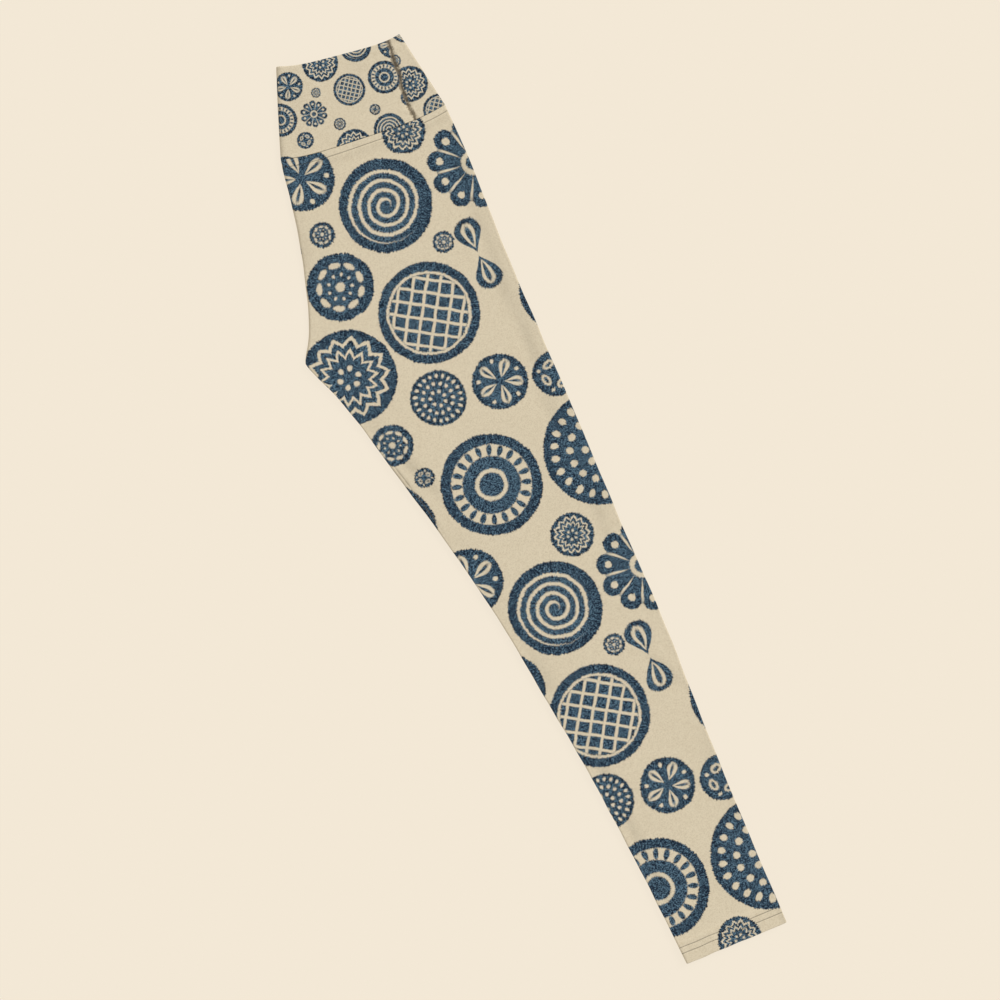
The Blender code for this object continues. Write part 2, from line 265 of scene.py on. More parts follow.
# How far down the edges of a leg are fully loose, and how far its face and the band's lie below their full
# height, with where that starts on the leg
LOOSE_FROM = 60.0
LEG_SLACK = 0.18
SLACK_STARTS = (4.0, 30.0)
BAND_SLACK = 0.25

# Small ridges beside a seam: how far from it they are highest, how far they reach, and their waves. A small
# pull, across or down, draws them out that way
Puckers = namedtuple("Puckers", "place reach pull_across pull_down height size seed")
HEM_PUCKERS = Puckers(13.0, 9.0, 1.0, 0.15, 0.16, 7.0, 11)
SEAM_PUCKERS = Puckers(4.0, 6.0, 1.0, 0.2, 0.14, 8.0, 12)
SIDE_PUCKERS = Puckers(0.0, 6.0, 0.4, 1.0, 0.40, 5.5, 23)
WAIST_PUCKERS = Puckers(0.0, 5.0, 1.0, 0.2, 0.12, 9.0, 24)

# Painted shade that darkens the cloth's colour in creases and beside edges, as depths of a trough that would
# look as dark. A negative one is painted light
Shade = namedtuple("Shade", "depth reach")
ROLL_SHADE = Shade(0.9, 4.5)
EDGE_SHADE = Shade(-1.0, 1.5)
SIDE_SHADE = Shade(0.6, 3.0)
BAND_SIDE_SHADE = Shade(0.8, 3.0)
HOLLOW_SHADE = 0.13

# The print: a charted repeat for the legs and one for the band, each of discs with a place, a radius,
# a kind and a turn in degrees
Motif = namedtuple("Motif", "across down radius kind turn")
Chart = namedtuple("Chart", "width length motifs")
BEADS, WHEEL, SPIRAL, FLOWER, NET, ZIGZAG, LEAF, CLOVER, SPOT, PAIR = range(10)

LEG_CHART = Chart(
    width=236.0,
    length=436.0,
    motifs=(
        Motif(54, 52, 57, BEADS, 8),
        Motif(176, 44, 51, WHEEL, 0),
        Motif(231, 121, 22, ZIGZAG, 0),
        Motif(119, 125, 33, LEAF, 20),
        Motif(186, 182, 47, SPIRAL, 30),
        Motif(47, 176, 46, FLOWER, 12),
        Motif(114, 240, 34, SPOT, 5),
        Motif(18, 262, 38, PAIR, 94),
        Motif(186, 298, 51, NET, 14),
        Motif(87, 327, 48, ZIGZAG, 0),
        Motif(224, 388, 28, LEAF, 52),
        Motif(161, 380, 28, BEADS, 8),
        Motif(100, 406, 21, SPOT, 0),
        Motif(42, 402, 23, CLOVER, 15),
        Motif(226, 238, 11, SPOT, 0),
        Motif(60, 252, 12, CLOVER, 40),
        Motif(116, 185, 13, SPOT, 0),
        Motif(117, 12, 10, CLOVER, 20),
    ),
)

BAND_CHART = Chart(
    width=112.0,
    length=90.0,
    motifs=(
        Motif(19, 19, 18.0, ZIGZAG, 9),
        Motif(58, 16, 16.0, SPIRAL, 0),
        Motif(93, 28, 14.5, LEAF, 28),
        Motif(36, 54, 16.0, NET, 10),
        Motif(73, 56, 16.5, WHEEL, 0),
        Motif(106, 63, 13.5, FLOWER, 4),
        Motif(14, 82, 6.0, SPOT, 0),
        Motif(52, 82, 5.5, CLOVER, 14),
        Motif(88, 84, 8.5, CLOVER, 40),
        Motif(4, 44, 5.0, SPOT, 0),
    ),
)

# How many times as long as it is broad a motif is, where it isn't round
SLENDER = {PAIR: 2.0}

# Each motif is built up from layers of dye and of resist, with sizes in shares of its radius. A ring lies
# at a radius and reaches half its breadth both ways. Petals are ovals round a ring: reach is half their
# length outwards and width half their breadth. A zigzag ring swings by width. A spiral's turns and a net's
# lines lie width apart, inside the radius at. Turn is a share of the angle between two petals
Layer = namedtuple("Layer", "dyed shape at reach width count turn", defaults=(1.0, 0, 0))
DISC = Layer(1, "ring", 0.0, 1.0)
MOTIF_LAYERS = {
    BEADS: (
        DISC,
        Layer(0, "petals", 0.80, 0.075, 0.055, 22),
        Layer(0, "petals", 0.53, 0.066, 0.062, 14),
        Layer(0, "petals", 0.26, 0.066, 0.062, 7),
    ),
    WHEEL: (
        DISC,
        Layer(0, "ring", 0.68, 0.11),
        Layer(1, "petals", 0.68, 0.11, 0.055, 20),
        Layer(0, "ring", 0.28, 0.040),
    ),
    SPIRAL: (
        DISC,
        Layer(0, "spiral", 0.82, 0.036, 0.20, 1),
        Layer(1, "ring", 0.0, 0.10),
    ),
    FLOWER: (
        Layer(1, "ring", 0.0, 0.84),
        Layer(1, "petals", 0.80, 0.20, 0.22, 10),
        Layer(0, "petals", 0.58, 0.24, 0.024, 10, 0.5),
        Layer(0, "petals", 0.74, 0.080, 0.080, 10),
        Layer(0, "ring", 0.22, 0.05),
    ),
    NET: (
        DISC,
        Layer(0, "net", 0.78, 0.028, 0.26),
        Layer(0, "ring", 0.80, 0.026),
    ),
    ZIGZAG: (
        DISC,
        Layer(0, "zigzag", 0.74, 0.045, 0.08, 14),
        Layer(0, "zigzag", 0.50, 0.040, 0.08, 14),
        Layer(0, "petals", 0.20, 0.060, 0.055, 6),
    ),
    LEAF: (
        DISC,
        Layer(0, "petals", 0.50, 0.32, 0.15, 5),
        Layer(1, "petals", 0.50, 0.25, 0.045, 5),
        Layer(0, "petals", 0.76, 0.075, 0.070, 5, 0.5),
    ),
    CLOVER: (
        DISC,
        Layer(0, "petals", 0.50, 0.18, 0.27, 4),
        Layer(1, "petals", 0.50, 0.08, 0.16, 4),
        Layer(0, "petals", 0.72, 0.085, 0.075, 4, 0.5),
    ),
    SPOT: (
        DISC,
        Layer(0, "petals", 0.64, 0.085, 0.175, 9),
        Layer(0, "ring", 0.0, 0.14),
        Layer(0, "petals", 0.36, 0.050, 0.045, 9, 0.5),
    ),
    PAIR: (
        Layer(1, "petals", 0.52, 0.47, 0.30, 2),
        Layer(0, "petals", 0.52, 0.33, 0.15, 2),
        Layer(1, "petals", 0.52, 0.26, 0.07, 2),
    ),
}

# Colours, linear
ECRU = (0.700, 0.606, 0.440, 1.0)
ECRU_SHADE = (0.585, 0.490, 0.340, 1.0)
INDIGO = (0.001, 0.008, 0.022, 1.0)
INDIGO_WORN = (0.105, 0.190, 0.260, 1.0)
THREAD_DARK = (0.075, 0.060, 0.040, 1.0)
THREAD_BROWN = (0.160, 0.130, 0.085, 1.0)
# Brown of the painted shadow in a seam's ditch
DITCH_SHADOW = (0.170, 0.130, 0.080, 1.0)
FLOOR_CREAM = (0.896, 0.807, 0.672, 1.0)
SHEEN_CREAM = (0.9, 0.88, 0.82, 1.0)
SHEEN_ROUGHNESS = 0.6
CLOTH_GLOSS = 0.2

# Knit and ink. Widths are in metres, scales are of noise, and shares weigh what makes up a colour
RIB = 0.0008
ROW = 0.0006
LOOP_SWING = 0.25
LOOP_BEND = 0.5
# Painted shade between the knit's loops: the colour is darkened where the knit lies low
KNIT_SHADE = (0.10, 0.94)
KNIT_BUMP = (0.00012, 0.5)
MOTTLE_BUMP = (0.0004, 0.15)
MOTTLE_SCALE = 180.0
SPECK_SCALE = 700.0
GRAIN = {"speck": 0.4, "loop": 0.6}
PALENESS = {"grain": 0.8, "mottle": 0.2}
PALE_FROM = (0.15, 0.65)
WEAR = {"speck": 0.40, "loop": 0.28, "streak": 0.30, "rim": -0.04}
WORN_FROM = (0.43, 0.61)

# Edges of the print: their blur in metres, how they shake, at noise scales by shares of the fray, and how
# hairs of dye run out of them
SOFTNESS = 0.0006
LAYER_FADE = 0.03
KIND_MARGIN = 0.4
SHAKES = ((1400.0, 1.5), (60.0, 2.2))
HAIRS_ROUND = 850.0
HAIRS_OUT = 170.0
HAIRS_APART = 3.1
HAIR_PULL = 4.0
RIM_FROM = (0.6, 1.0)

# Marks of the sewing, with widths in metres: painted shade in the needle rows, and a ragged brown painted
# shadow in a seam's ditch, darker in its core
NEEDLE_MARK = 0.0007
NEEDLE_SHADE = 0.5
SPECK_RAG = 1.8
MOTTLE_RAG = 2.2
RAGGED_FROM = (0.15, 0.95)
DITCH_RIM = 0.2
CORE_WIDTH = 0.0009
CORE_SHADE = 0.9
TWIST_SCALE = 2600.0
TWIST_BUMP = (0.0001, 0.4)

# Printed cloths, with widths and fray in metres. A needle row is (which distance of the sewn attribute,
# how many millimetres). The ditch's width and share are those of the brown painted shadow in a seam's ditch
Jersey = namedtuple("Jersey", "name needles ditch_width ditch_share fray")
LEG_NEEDLES = ((1, SEAM_NEEDLE), (0, HEM_NEEDLES[0]), (0, HEM_NEEDLES[1]))
LEG_JERSEY = Jersey("leg_jersey", LEG_NEEDLES, ditch_width=0.0014, ditch_share=0.35, fray=0.0012)
BAND_JERSEY = Jersey("band_jersey", ((1, 0.0),), ditch_width=0.0042, ditch_share=0.85, fray=0.0005)

# Kinds of socket
FLOAT = "NodeSocketFloat"
VECTOR = "NodeSocketVector"
GEOMETRY = "NodeSocketGeometry"
MATERIAL = "NodeSocketMaterial"

# How finely the cloth is sampled
LEG_PITCH = 3.8
SEWN_PITCH = 0.5
SEWN_FROM = 1.5
SEAM_REACH = 14.0
HEM_REACH = 24.0
FOLD_STEPS = (0.0, 0.12, 0.35, 0.7, 1.1, 1.6, 2.1, 2.6, 3.1, 3.6, 4.1, 4.7, 5.5, 6.8)
BACK_STEPS = (0.12, 0.35, 0.7, 1.1, 1.6, 2.6, 4.1, 6.8)
TOP_SPACES = 64
BACK_SPACES = 20
TOP_POINTS = 2 * len(FOLD_STEPS) + TOP_SPACES - 1
EDGE_STATIONS = (0.0, 0.04, 0.12, 0.26, 0.46, 0.72, 1.0)
BAND_PITCH = 1.2
FRONT_ARM = (1.7, 56)
BACK_ARM = (1.5, 26)
HIDDEN_POINTS = 25
ROUND_STEPS = 8
EDGE_PINCH = 0.12

# Places and light
CAMERA_HEIGHT = 2500.0
CAMERA_LENS = 90.0
CAMERA_TURN = -22.6
CAMERA_ACROSS = 11.3
CAMERA_ALONG = 6.8
CAMERA_SIGHT = 40.0
FLOOR_SIZE = 30.0
FLOOR_GLOW = 0.95
SKY_LIGHT = 0.54
WINDOW_LIGHT = 2.25
WINDOW_BREADTH = 24
WINDOW_TURN = (-18, 46, 0)


def ease(value, start, end):
    """0 before start and 1 after end, with a smooth step between."""
    f = np.clip((value - start) / (end - start), 0.0, 1.0)
    return f * f * (3 - 2 * f)


def blend(a, b, share):
    return a + (b - a) * share


def bell(value, width):
    """1 at 0, and next to nothing from twice the width on."""
    return np.exp(-((value / width) ** 2))


def smooth(rows, at):
    """Values at distances down, on a smooth curve through the rows of a table."""
    downs, values = np.array(rows).T
    slopes = np.gradient(values, downs)
    at = np.clip(at, downs[0], downs[-1])
    i = np.clip(np.searchsorted(downs, at, side="right") - 1, 0, len(rows) - 2)
    span = downs[i + 1] - downs[i]
    f = (at - downs[i]) / span
    ends = values[i] * (1 + 2 * f) * (1 - f) ** 2 + values[i + 1] * f * f * (3 - 2 * f)
    turns = slopes[i] * f * (1 - f) ** 2 - slopes[i + 1] * f * f * (1 - f)
    return ends + turns * span


def round_edge(distance, radius):
    """Share of the full height at a distance in from a rounded edge: a quarter of an ellipse."""
    f = np.clip(distance / radius, 0.0, 1.0)
    return np.sqrt(1 - (1 - f) ** 2)


def inner_edge(down):
    """The left edge: the centre fold above the crotch and the inseam below it."""
    return np.where(down < CROTCH_DOWN, smooth(RISE_EDGE, down), smooth(INSEAM_EDGE, down))


def flat_bow(t):
    """How far a curved edge has left its chord, as a share of its bow, at a share t of its length."""
    return 1 - (2 * t - 1) ** 4


def unevenness(across, down, waves, count=FACE_WAVES):
    """A gentle wandering of cloth, up to about the height of its waves both ways."""
    rng = np.random.default_rng(waves.seed)
    total = 0.0
    for _ in range(count):
        angle = rng.uniform(0, math.pi)
        turns = 2 * math.pi / (waves.size * rng.uniform(*WAVE_SPREAD))
        phase = rng.uniform(0, 2 * math.pi)
        total = total + np.sin((across * math.cos(angle) + down * math.sin(angle)) * turns + phase)
    return waves.height * (total / math.sqrt(2 * count))


def wander(along, waves):
    """Unevenness of an edge along its length."""
    return unevenness(0.0, along, waves, count=EDGE_WAVES)


def uneven_face(across, down, broad, fine):
    """Unevenness of a face, from broad waves and fine ones."""
    return unevenness(across, down, broad) + unevenness(across, down, fine)


def puckers(from_seam, across, down, kind):
    """Small ridges that run away from a seam and die out."""
    waves = unevenness(kind.pull_across * across, kind.pull_down * down, kind)
    return bell(from_seam - kind.place, kind.reach) * waves


def shade(distance, kind):
    """How much painted shade darkens the cloth at a distance from an edge; a negative depth paints light."""
    return kind.depth * bell(distance, kind.reach)


def trough_depth(across, down, creases):
    """How deep the creases are at a place, all together."""
    depth = 0.0
    for crease in creases:
        lean = math.radians(crease.lean)
        aside = across - crease.across
        ahead = down - crease.down
        along = (ahead * math.cos(lean) + aside * math.sin(lean)) / (crease.length / 2)
        beside = (aside * math.cos(lean) - ahead * math.sin(lean)) / (crease.width / 2)
        depth = depth + crease.depth * np.exp(-along * along - beside * beside)
    return depth


def band_place(t, w):
    """Plan place on the band, t from the centre fold to the side fold and w from the waist to the seam."""
    centre_across = blend(WAIST_CENTRE[0], SEAM_CENTRE[0], w) - CENTRE_BOW * np.sin(math.pi * w)
    centre_down = blend(WAIST_CENTRE[1], SEAM_CENTRE[1], w)
    side_across = blend(WAIST_SIDE[0], SEAM_SIDE[0], w)
    side_down = blend(WAIST_SIDE[1], SEAM_SIDE[1], w)
    across = blend(centre_across, side_across, t)
    down = blend(centre_down, side_down, t) + blend(WAIST_BOW, SEAM_BOW, w) * flat_bow(t)
    return across, down


def band_width(w):
    return band_place(1.0, w)[0] - band_place(0.0, w)[0]


def side_seam_at(w):
    """Distance from the centre fold to the band's side seam, made better in turns from a guess."""
    share = SIDE_SEAM_GUESS
    for _ in range(SIDE_SEAM_TURNS):
        down = band_place(share, w)[1]
        share = (smooth(SIDE_SEAM, down) - band_place(0.0, w)[0]) / band_width(w)
    return share * band_width(w)


def seam_fade(station):
    """How closely a leg's rows still follow the curve of the band's seam."""
    return np.maximum(1 - station / SEAM_FADE, 0.0) ** 2


def leg_edges(station, inset):
    """Across values of a leg's two edges, with the small unevenness of real cloth."""
    inset = inset * ease(station, CROTCH_DOWN - EASE, CROTCH_DOWN + EASE)
    loose = ease(station, 0.0, LOOSE_FROM)
    left = inner_edge(station + (SEAM_CENTRE[1] + SEAM_GAP) * seam_fade(station)) + inset
    right = smooth(SIDE_EDGE, station) - inset
    return left + loose * wander(station, LEFT_WAVES), right + loose * wander(station, RIGHT_WAVES)


def leg_place(t, station, inset):
    """Plan place on a leg. Its top edge follows the band's seam, and its sections straighten below."""
    across = blend(*leg_edges(station, inset), t)
    down = station + (band_place(t, 1.0)[1] + SEAM_GAP) * seam_fade(station)
    at_hem = ease(station, HEM_DOWN - 3 * HEM_TURN_UP, HEM_DOWN)
    return across, down + at_hem * wander(across, HEM_WAVES)


def wall_at(station):
    """The cloth is doubled in the seam allowance below the band and in the turned-up hem."""
    seam = blend(SEAM_WALL, WALL, ease(station, SEAM_ALLOWANCE, SEAM_ALLOWANCE + EASE))
    turned_up = HEM_DOWN - HEM_TURN_UP
    return blend(seam, HEM_WALL, ease(station, turned_up - HEM_EASE, turned_up))


def shown_inseam(station):
    """1 where the inseam's line shows on top and 0 elsewhere."""
    first, full, last, end = INSEAM_SHOWS
    return ease(station, first, full) * (1 - ease(station, last, end))


def rim_arc(distance, thickness):
    """Extra length of the cloth's face round its rounded edge, at a distance from that edge in plan."""
    radius = thickness / 2
    share = 1 - np.clip(distance / radius, 0.0, 1.0)
    return radius * (np.arcsin(share) - share)


def needle_lines(station):
    """Depth of the grooves that the needle rows pull into the cloth."""
    depth = NEEDLE_GROOVE * bell(station - SEAM_NEEDLE, NEEDLE_WIDTH)
    for needle in HEM_NEEDLES:
        depth = depth + NEEDLE_GROOVE * bell(HEM_DOWN - needle - station, NEEDLE_WIDTH)
    return depth


def leg_relief(leg, across, down, station):
    """How far the upper face of a leg lies below its full height."""
    pucker = puckers(HEM_DOWN - station, across, down, HEM_PUCKERS)
    pucker = pucker + puckers(station, across, down, SEAM_PUCKERS)
    if leg is UNDER_LEG:
        return pucker
    sunk = (uneven_face(across, down, *LEG_WAVES) + LEG_SLACK) * ease(station, *SLACK_STARTS)
    return UPPER_AIR * np.tanh((trough_depth(across, down, CREASES) + sunk) / UPPER_AIR) + pucker


def section_steps(width, fold_steps, spaces):
    """Distances from the left edge of each section, close together at both folds."""
    fold_steps = np.array(fold_steps)
    shares = np.linspace(0.0, 1.0, spaces + 1)[1:-1]
    last = fold_steps[-1]
    left = np.broadcast_to(fold_steps, (len(width), len(fold_steps)))
    between = last + shares * (width - 2 * last)
    return np.hstack([left, between, width - left[:, ::-1]])


def leg_rings(leg, stations, in_wall):
    """Closed sections of a leg as (across, down, height), from the left edge over the top and back below."""
    left, right = leg_edges(stations, leg.inset)
    width = right - left
    wall = wall_at(stations)
    floor = 2 * wall + UNDER_AIR + GAP if leg is UPPER_LEG else 0.0
    full = 2 * wall + leg.air
    at_rise = 1 - ease(stations, CROTCH_DOWN - EASE, CROTCH_DOWN)
    centre_height = blend(full / 2, 0.0 if leg.turns_down else full, at_rise)
    fold = blend(FOLD_ROUND, CENTRE_ROUND, at_rise)
    steps_over = section_steps(width, FOLD_STEPS, TOP_SPACES)
    steps_back = section_steps(width, BACK_STEPS, BACK_SPACES)[:, ::-1]
    shrink = 1 - 2 * AIR_INSET / width if in_wall else 1.0
    parts = []
    for steps, on_top in ((steps_over, True), (steps_back, False)):
        distance = width / 2 + (steps - width / 2) * shrink
        across, down = leg_place(distance / width, stations, leg.inset)
        to_edge = np.minimum(distance, width - distance)
        near_left = distance < width / 2
        top = floor + full - leg_relief(leg, across, down, stations)
        low = floor + (trough_depth(across, down, HIDDEN_CREASES) if leg is UNDER_LEG else 0.0)
        if in_wall:
            middle = (floor + top) / 2
            height = top - wall if on_top else low + wall
            share = round_edge(to_edge - AIR_INSET, AIR_ROUND)
        else:
            line = INSEAM_GROOVE * bell(distance - smooth(INSEAM_LINE, stations), INSEAM_WIDTH)
            sewn = needle_lines(stations)
            middle = floor + np.where(near_left, centre_height, full / 2)
            height = top - sewn - line * shown_inseam(stations) if on_top else low + sewn
            share = round_edge(to_edge, np.where(near_left, fold, FOLD_ROUND))
        height = blend(middle, height, share)
        parts.append(combined(across, down, height))
    return np.concatenate(parts, axis=1)


def combined(*parts):
    """One array of points or values, with its parts spread over the same grid."""
    return np.stack(np.broadcast_arrays(*parts), axis=-1)


def fold_share(distance, thickness):
    """Share of a wall's thickness at a distance from the rounded end of a fold."""
    return np.maximum(round_edge(distance, thickness / 2), EDGE_PINCH)


def pinch(outer, inner, share):
    """Draws the two faces of a wall together, for a rounded edge."""
    close = (1 - share)[..., None] / 2
    return blend(outer, inner, close), blend(inner, outer, close)


def leg_stations():
    """Distances down a leg, close together where it is sewn and at its edges."""
    edge = np.array(EDGE_STATIONS)
    seam = np.arange(SEWN_FROM, SEAM_REACH, SEWN_PITCH)
    hem = HEM_DOWN - np.arange(HEM_REACH, SEWN_FROM - SEWN_PITCH / 2, -SEWN_PITCH)
    body = np.linspace(SEAM_REACH, hem[0], int((hem[0] - SEAM_REACH) / LEG_PITCH) + 1)[:-1]
    return np.concatenate([edge, seam, body, hem, HEM_DOWN - edge[::-1]])[:, None]


def arc_lengths(aside, height):
    """Distance along each section from its first point."""
    steps = np.hypot(np.diff(aside, axis=1), np.diff(height, axis=1))
    return np.concatenate([np.zeros((len(steps), 1)), np.cumsum(steps, axis=1)], axis=1)


def world(points):
    """Plan places and heights as places in the row's frame, in metres."""
    placed = np.empty(points.shape)
    placed[..., 0] = points[..., 0] - MIDDLE_ACROSS
    placed[..., 1] = MIDDLE_DOWN - points[..., 1]
    placed[..., 2] = points[..., 2]
    return placed * METRES


def grid_faces(first, rows, columns, closed):
    """Corner numbers of the quads of a grid of points, and each corner's place in the unrolled grid."""
    i, j = np.meshgrid(np.arange(rows - 1), np.arange(columns - (not closed)), indexing="ij")
    i = i.ravel()
    j = j.ravel()
    corner_rows = np.stack([i, i + 1, i + 1, i], axis=1)
    corner_columns = np.stack([j, j, j + 1, j + 1], axis=1)
    numbers = first + corner_rows * columns + corner_columns % columns
    return numbers, corner_rows, corner_columns


def rim_faces(outer, inner, rows, columns):
    """Quads that join two lines of points, with the same unrolled places on both sides."""
    numbers = np.stack([outer[:-1], outer[1:], inner[1:], inner[:-1]], axis=1)
    places = [np.stack([line[:-1], line[1:], line[1:], line[:-1]], axis=1) for line in (rows, columns)]
    return numbers, *places


def turned(part):
    """The same quads with their corners in the opposite order."""
    return tuple(corners[:, ::-1] for corners in part)


def shell(outer, inner, closed):
    """Points of a closed shell and its quads, with each corner's place in the unrolled grid."""
    rows, columns = outer.shape[:2]
    count = rows * columns
    number = np.arange(count).reshape(rows, columns)
    parts = [grid_faces(0, rows, columns, closed), turned(grid_faces(count, rows, columns, closed))]
    column = np.arange(columns + closed)
    for row in (0, rows - 1):
        line = number[row, column % columns]
        part = rim_faces(line, line + count, np.full(len(column), row), column)
        parts.append(part if row else turned(part))
    if not closed:
        for column in (0, columns - 1):
            line = number[:, column]
            part = rim_faces(line, line + count, np.arange(rows), np.full(rows, column))
            parts.append(turned(part) if column else part)
    points = np.concatenate([outer.reshape(-1, 3), inner.reshape(-1, 3)])
    faces = tuple(np.concatenate(part) for part in zip(*parts))
    first, second, third, fourth = points[faces[0]].transpose(1, 0, 2)
    volume = 0.0
    for side, next_side in ((second, third), (third, fourth)):
        volume += np.einsum("ij,ij->i", first, np.cross(side, next_side)).sum()
    numbers, cell_rows, cell_columns = turned(faces) if volume < 0 else faces
    return points, numbers, cell_rows, cell_columns


def printed_places(cloth, chart):
    """The chart's motif nearest to each quad: the corners in that motif's radii, its kind and its radius."""
    repeat = np.array([chart.width, chart.length])
    centre = cloth.mean(axis=1)
    best = np.full(len(centre), np.inf)
    place = np.zeros(cloth.shape)
    kind = np.zeros(len(centre))
    radius = np.ones(len(centre))
    for motif in chart.motifs:
        home = np.array([motif.across, motif.down])
        home = home + np.round((centre - home) / repeat) * repeat
        turn = math.radians(motif.turn)
        axes = np.array([[math.cos(turn), math.sin(turn)], [-math.sin(turn), math.cos(turn)]])
        away = (centre - home) @ axes
        edge = np.hypot(away[:, 0], away[:, 1] * SLENDER.get(motif.kind, 1.0)) - motif.radius
        nearer = edge < best
        best[nearer] = edge[nearer]
        place[nearer] = (cloth[nearer] - home[nearer, None]) @ axes / motif.radius
        kind[nearer] = motif.kind
        radius[nearer] = motif.radius
    return place, kind, radius


def corner_values(mesh, name, kind, values):
    """Gives each corner of a mesh its value of a named attribute."""
    attribute = mesh.attributes.new(name, kind, "CORNER")
    attribute.data.foreach_set("value" if kind == "FLOAT" else "vector", values.astype(np.float32).ravel())


def new_object(name, data):
    """An object of the scene that shows the data."""
    thing = bpy.data.objects.new(name, data)
    bpy.context.scene.collection.objects.link(thing)
    return thing


def cloth_piece(name, outer, inner, closed, cloth, sewn, painted_shade, chart, material):
    """A piece of cloth as a mesh object, with the attributes that its material reads."""
    points, numbers, rows, columns = shell(world(outer), world(inner), closed)
    mesh = bpy.data.meshes.new(name)
    mesh.from_pydata(points.tolist(), [], numbers.tolist())
    mesh.polygons.foreach_set("use_smooth", np.ones(len(numbers), bool))
    flat = cloth[rows, columns]
    unrolled = mesh.uv_layers.new(name="cloth")
    unrolled.uv.foreach_set("vector", (flat * METRES).astype(np.float32).ravel())
    place, kind, radius = printed_places(flat, chart)
    kinds = np.broadcast_to(kind[:, None, None], place.shape[:2] + (1,))
    corner_values(mesh, "motif", "FLOAT_VECTOR", np.concatenate([place, kinds], axis=-1))
    corner_values(mesh, "motif_radius", "FLOAT", np.repeat(radius * METRES, 4))
    corner_values(mesh, "sewn", "FLOAT_VECTOR", sewn[rows, columns] * METRES)
    corner_values(mesh, "painted_shade", "FLOAT", painted_shade[rows, columns])
    mesh.materials.append(material)
    mesh.update()
    return new_object(name, mesh)


def leg_cloth(leg, material):
    """One leg: a tube of one wall of cloth, folded flat, open at the waist seam and at the hem."""
    stations = leg_stations()
    outer = leg_rings(leg, stations, False)
    inner = leg_rings(leg, stations, True)
    share = np.minimum(fold_share(HEM_DOWN - stations, HEM_WALL), fold_share(stations, SEAM_ROLL))
    outer, inner = pinch(outer, inner, share)
    round_trip = np.concatenate([outer, outer[:, :1]], axis=1)
    across, down, height = np.moveaxis(round_trip, -1, 0)
    along = arc_lengths(across, height)
    along = along - along[:, TOP_POINTS:TOP_POINTS + 1]
    rims = rim_arc(HEM_DOWN - stations, HEM_WALL) - rim_arc(stations, SEAM_ROLL)
    cloth = combined(along + leg.print_across, down + rims + leg.print_down)
    left, right = leg_edges(stations, leg.inset)
    shown = shown_inseam(stations)
    from_inseam = np.abs(across - left - smooth(INSEAM_LINE, stations)) + UNSEEN * (1 - shown)
    sewn = combined(HEM_DOWN - stations, stations, from_inseam)
    # Painted shade in the creases, beside the side fold and beside the inseam where it shows, and painted
    # light along the rest of the left edge; none on the leg underneath
    painted_shade = trough_depth(across, down, CREASES) + shade(right - across, SIDE_SHADE)
    painted_shade = painted_shade + shown * shade(across - left, ROLL_SHADE)
    painted_shade = painted_shade + (1 - shown) * shade(across - left, EDGE_SHADE)
    if leg is UNDER_LEG:
        painted_shade = 0.0 * painted_shade
    return cloth_piece(leg.name, outer, inner, True, cloth, sewn, painted_shade, LEG_CHART, material)


def straight(start, end, height, normal, steps):
    """Rows of a wall's middle line: (distance, height, sideways part and upward part of its normal)."""
    return np.broadcast_arrays(blend(start, end, steps), height, 0.0, normal)


def turning(centre, height, reach, rise, side, normal, first, last):
    """The same rows round a fold. Side is 1 for a fold at the right and -1 for one at the left."""
    angles = np.radians(np.linspace(first, last, ROUND_STEPS + 1)[1:-1])
    aside = side * np.cos(angles)
    upward = np.sin(angles)
    return np.broadcast_arrays(
        centre + reach * aside, height + rise * upward, normal * aside, normal * upward,
    )


def spread(ends_close, spaces):
    """Shares of a straight stretch, closer together at its first end."""
    return np.linspace(0.0, 1.0, spaces + 1) ** ends_close


def front_path(width, seam):
    """Middle line of the front band: the arm on top, the round at the centre fold, the arm below."""
    half = BAND_WALL / 2
    fold = BAND_ROUND + 0.0 * width
    arm = spread(*FRONT_ARM)
    return [
        straight(seam, fold, BAND_TOP - half, 1.0, arm),
        turning(fold, BAND_MIDDLE, BAND_ROUND - half, BAND_MIDDLE - half, -1.0, 1.0, 90, -90),
        straight(fold, seam, half, -1.0, 1 - arm[::-1]),
    ]


def back_path(width, lip):
    """Middle line of the back band: shown above, round the side fold, in and out between, shown below."""
    half = BAND_WALL / 2
    bend = (BAND_WALL + GAP) / 2
    side = width - half - bend
    centre = BAND_WALL + GAP + half + bend + 0.0 * width
    shown = spread(*BACK_ARM)
    hidden = np.linspace(0.0, 1.0, HIDDEN_POINTS)
    high = BAND_TOP - half
    return [
        straight(lip, side, high, 1.0, shown),
        turning(side, high - bend, bend, bend, 1.0, 1.0, 90, -90),
        straight(side, centre, high - 2 * bend, -1.0, hidden),
        turning(centre, BAND_MIDDLE, bend, bend, -1.0, -1.0, 90, -90),
        straight(centre, side, half + 2 * bend, 1.0, hidden),
        turning(side, half + bend, bend, bend, 1.0, 1.0, 90, -90),
        straight(side, lip, half, -1.0, 1 - shown[::-1]),
    ]


def band_relief(across, down, from_seam, from_top):
    """How far the top of the band lies below its full height."""
    pucker = puckers(from_seam, across, down, SIDE_PUCKERS) + puckers(from_top, across, down, WAIST_PUCKERS)
    sunk = trough_depth(across, down, BAND_CREASES) + uneven_face(across, down, *BAND_WAVES)
    return sunk + pucker + BAND_SLACK


def ditch_depth(from_seam, down, level, upward):
    """How far the band's outer faces roll down into its side seam, and up into it from below."""
    above = level - BAND_MIDDLE
    outside = np.abs(upward) * (np.abs(above) > BAND_MIDDLE - FACE_MARGIN)
    width = DITCH_WIDTH * (1 + wander(down, DITCH_WAVES))
    return DITCH_DEPTH * bell(from_seam, width) * outside * np.sign(above)


